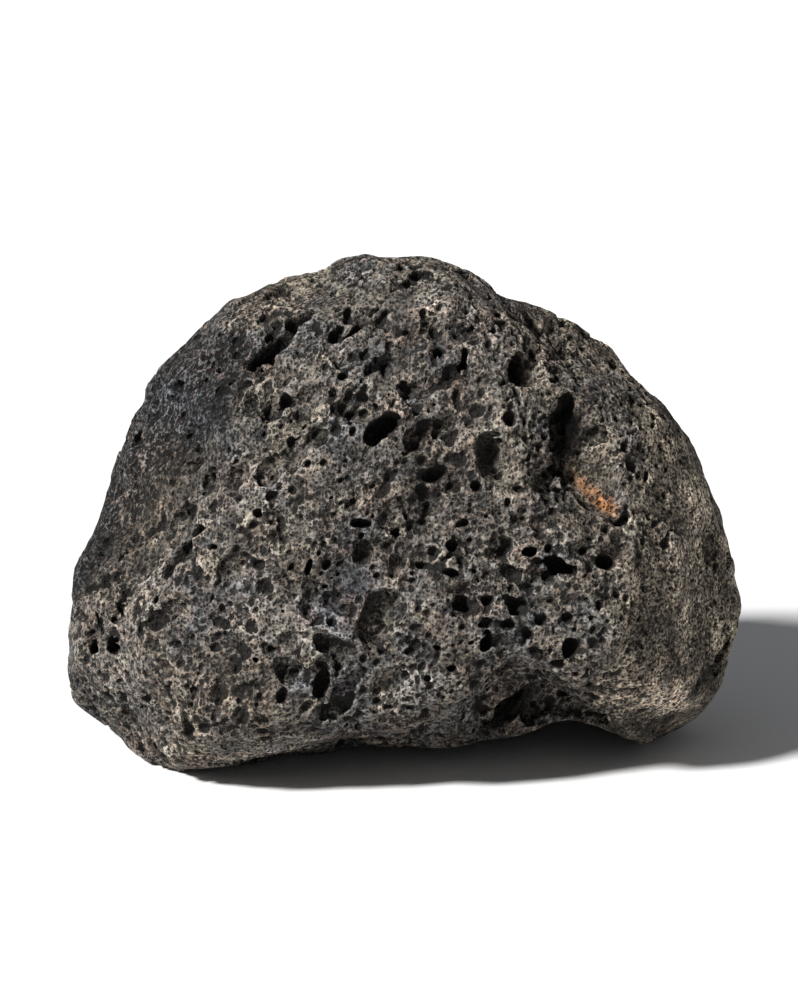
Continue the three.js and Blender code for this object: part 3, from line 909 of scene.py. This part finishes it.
# mottling of several sizes
base = mix(1.0, base, mottle, "MULTIPLY")
base = mix(mul(attribute("lobe_shade_flank_dim"), 0.5), base, mottle, "MULTIPLY")
salt = add(add(0.44, mul(right, 0.26)), mul(flank, 0.25))  # how strong the fine grain of the colour is
base = mix(1.0, base, ramp(noise(P, 1.4, 2.0, 0.7)[0], 0.28, 0.74, sub(0.75, salt), add(1.15, mul(salt, 1.4))), "MULTIPLY")
base = mix(mul(rust, ramp(rough_low, 0.3, 0.6, 0.5, 1.0)), base, (0.40, 0.170, 0.060, 1))
# crumbs, cell walls and edges lighter: pale grains and wear, and partly a painted highlight on the rims and edges
light = vec("SCALE", base, scale=2.9)
crumb = ramp(noise(vec("ADD", P, (9.0, 2.0, 5.0)), 0.85, 1.0)[0], 0.58, 0.70)
wear_and_highlight = math_n("MAXIMUM", mul(crumb, add(0.55, mul(right, 0.35))), mul(math_n("MAXIMUM", mul(wall_a, strong_a), mul(wall_b, 0.6)), 0.55))
wear_and_highlight = math_n("MAXIMUM", wear_and_highlight, mul(ramp(cave, 0.50, 0.35), 0.62))
base = mix(wear_and_highlight, base, light)
# painted shade: pits, enclosed recesses, deep hollows and the small cells darkened towards near black, standing in for
# the shadow in them
painted_shade = math_n("MAXIMUM", ramp(pore, 0.30, 1.5), mul(ramp(cave, 0.54, 0.72), 0.95))
painted_shade = math_n("MAXIMUM", painted_shade, mul(ramp(cavern, 0.54, 0.72), 0.85))
painted_shade = math_n("MAXIMUM", painted_shade, mul(ramp(hollow, 6.2, 8.8), 0.97))
painted_shade = math_n("MAXIMUM", painted_shade, attribute("shade"))
painted_shade = math_n("MAXIMUM", painted_shade, mul(mul(open_a, strong_a), 1.0))
painted_shade = math_n("MAXIMUM", painted_shade, mul(ramp(open_b, 0.20, 0.72), 0.92))
painted_shade = math_n("MAXIMUM", painted_shade, mul(ramp(open_b, 0.05, 0.45), flank))
painted_shade = math_n("MAXIMUM", painted_shade, mul(ramp(open_a, 0.05, 0.60), flank))
base = mix(mul(painted_shade, 0.93), base, (0.006, 0.0055, 0.005, 1))

bsdf = tree_n.nodes.new("ShaderNodeBsdfPrincipled")
bsdf.inputs["Metallic"].default_value = 0.0
bsdf.inputs["Specular IOR Level"].default_value = 0.25
put(bsdf.inputs["Base Color"], base)
put(bsdf.inputs["Roughness"], ramp(grain, 0.3, 0.7, 0.86, 0.98))
link(bump.outputs[0], bsdf.inputs["Normal"])
result = tree_n.nodes.new("ShaderNodeOutputMaterial")
link(bsdf.outputs[0], result.inputs["Surface"])
mesh.materials.append(material)

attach(rock, "root")
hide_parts("lava_rock")

# ---------------------------------------------------------------- floor, light and camera
floor_mesh = mesh_from("floor", np.array([(-30, -30, 0), (30, -30, 0), (30, 30, 0), (-30, 30, 0)], float), np.array([[0, 1, 2, 3]]))
floor = bpy.data.objects.new("floor", floor_mesh)
bpy.context.scene.collection.objects.link(floor)
white = bpy.data.materials.new("floor_white")
white.use_nodes = True
white.node_tree.nodes["Principled BSDF"].inputs["Base Color"].default_value = (0.9, 0.9, 0.9, 1)
white.node_tree.nodes["Principled BSDF"].inputs["Roughness"].default_value = 1.0
white.node_tree.nodes["Principled BSDF"].inputs["Specular IOR Level"].default_value = 0.0
floor_mesh.materials.append(white)

world = bpy.data.worlds.new("studio")
bpy.context.scene.world = world
world.use_nodes = True
wt = world.node_tree
wt.nodes.clear()
seen, ambient = wt.nodes.new("ShaderNodeBackground"), wt.nodes.new("ShaderNodeBackground")
seen.inputs["Color"].default_value = (1, 1, 1, 1)
seen.inputs["Strength"].default_value = 1.0
ambient.inputs["Color"].default_value = (0.95, 0.97, 1.0, 1)
ambient.inputs["Strength"].default_value = 0.16
path, both, w_out = wt.nodes.new("ShaderNodeLightPath"), wt.nodes.new("ShaderNodeMixShader"), wt.nodes.new("ShaderNodeOutputWorld")
wt.links.new(path.outputs["Is Camera Ray"], both.inputs[0])
wt.links.new(ambient.outputs[0], both.inputs[1])
wt.links.new(seen.outputs[0], both.inputs[2])
wt.links.new(both.outputs[0], w_out.inputs["Surface"])


def sun(name, towards, strength, spread_deg, colour):
    data = bpy.data.lights.new(name, "SUN")
    data.energy, data.angle, data.color = strength, math.radians(spread_deg), colour
    ob = bpy.data.objects.new(name, data)
    ob.rotation_euler = Vector(towards).to_track_quat("Z", "Y").to_euler()
    bpy.context.scene.collection.objects.link(ob)


sun("key", (-0.72, -0.56, 0.72), 5.5, 7, (1.0, 0.995, 0.985))

TARGET = Vector((0, 0, (HIGH[2] - LOW[2]) / 2000))
ELEVATION, AWAY = math.radians(14), 1.9
camera_data = bpy.data.cameras.new("camera")
camera_data.sensor_fit = "HORIZONTAL"
camera_data.sensor_width = 36
camera_data.lens = 36 * AWAY / 0.300  # 300 mm across the frame at the stone
camera_data.clip_end = 100
camera = bpy.data.objects.new("camera", camera_data)
camera.location = TARGET + Vector((0, -math.cos(ELEVATION), math.sin(ELEVATION))) * AWAY
camera.rotation_euler = (math.pi / 2 - ELEVATION, 0, 0)
bpy.context.scene.collection.objects.link(camera)
bpy.context.scene.camera = camera
bpy.context.scene.view_settings.view_transform = "Standard"
bpy.context.scene.view_settings.look = "None"
